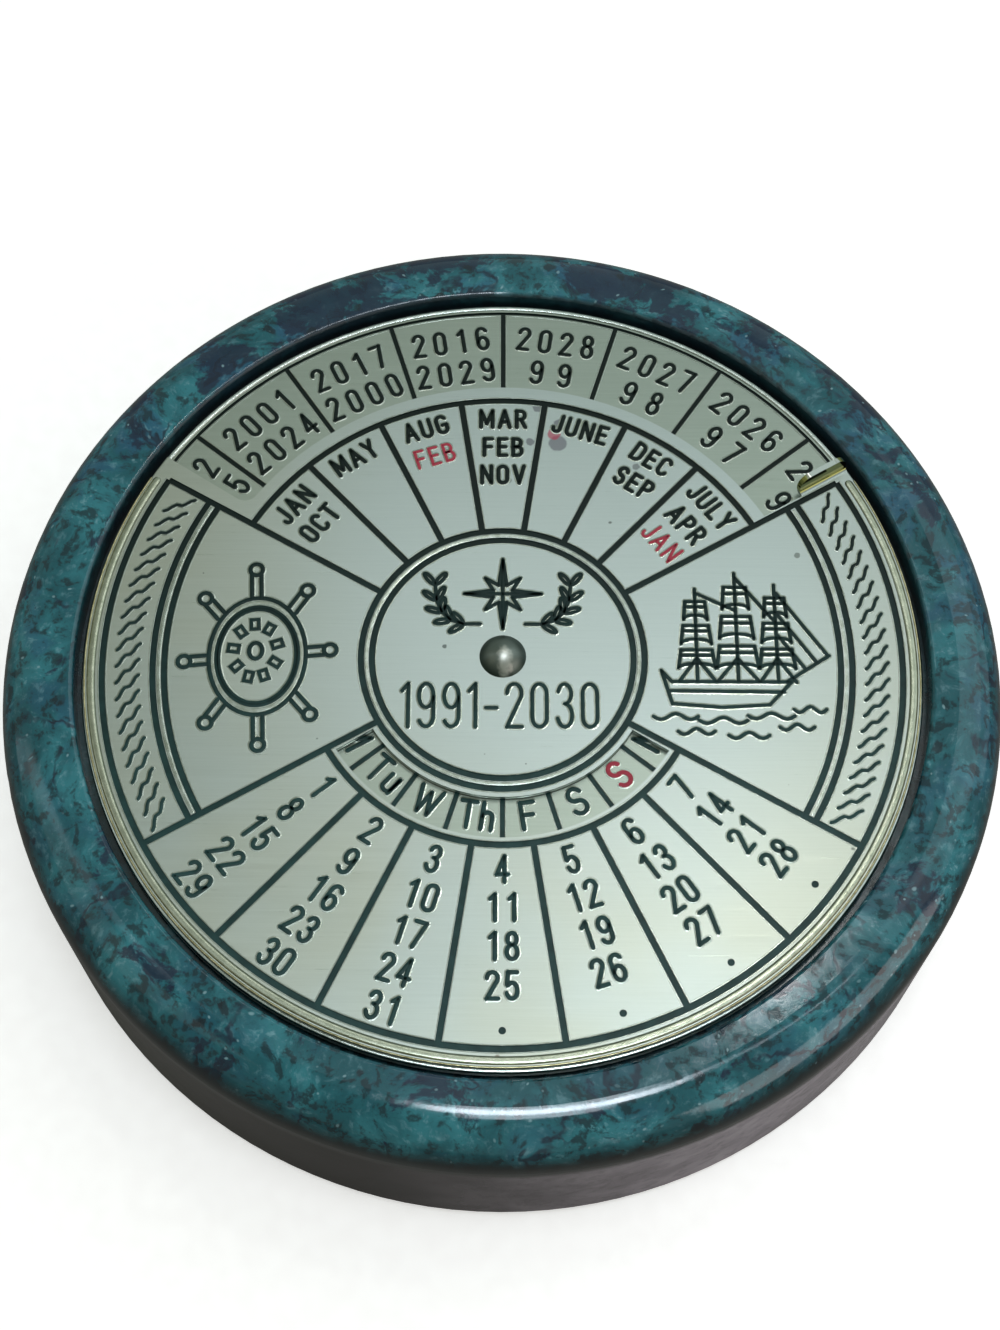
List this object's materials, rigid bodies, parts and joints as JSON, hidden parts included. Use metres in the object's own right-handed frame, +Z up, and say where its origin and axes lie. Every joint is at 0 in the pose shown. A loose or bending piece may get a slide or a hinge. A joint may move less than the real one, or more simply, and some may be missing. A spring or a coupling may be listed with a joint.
{
  "type": "perpetual desk calendar",
  "caption": "Round stone desk calendar with a fixed year dial and a brass front plate that turns on a rivet to line up months, dates and weekdays.",
  "frame": {"origin": "centre of the felt's underside, on the axis of the rivet", "axes": "+Z up out of the dials, +X to the reader's right, +Y away from the reader towards the window of years"},
  "size_m": [0.1016, 0.1016, 0.0271],
  "materials": {
    "green_marble": "polished, mottled green with dark blotches",
    "felt": "pressed felt",
    "foam_tape": "matte foam",
    "etched_brass": "brushed and lacquered, with enamel in the etched lines",
    "washer_fibre": "hard vulcanised fibre",
    "spring_steel": "blued spring steel",
    "plain_brass": "plain stamped brass",
    "tarnished_brass": "domed, tarnished grey brown"
  },
  "bodies": {
    "base": {"marble_base": "green_marble", "felt_pad": "felt", "dial_tape": "foam_tape", "year_dial": "etched_brass", "spacer_washer": "washer_fibre", "spring_washer": "spring_steel", "tail_washer": "plain_brass", "center_rivet": "tarnished_brass"},
    "front": {"front_plate": "etched_brass"}
  },
  "joints": [
    {"name": "front_turn", "type": "hinge", "parent": "base", "child": "front", "pos_m": [0, 0, 0.0247], "axis": [0, 0, 1], "continuous": true}
  ]
}
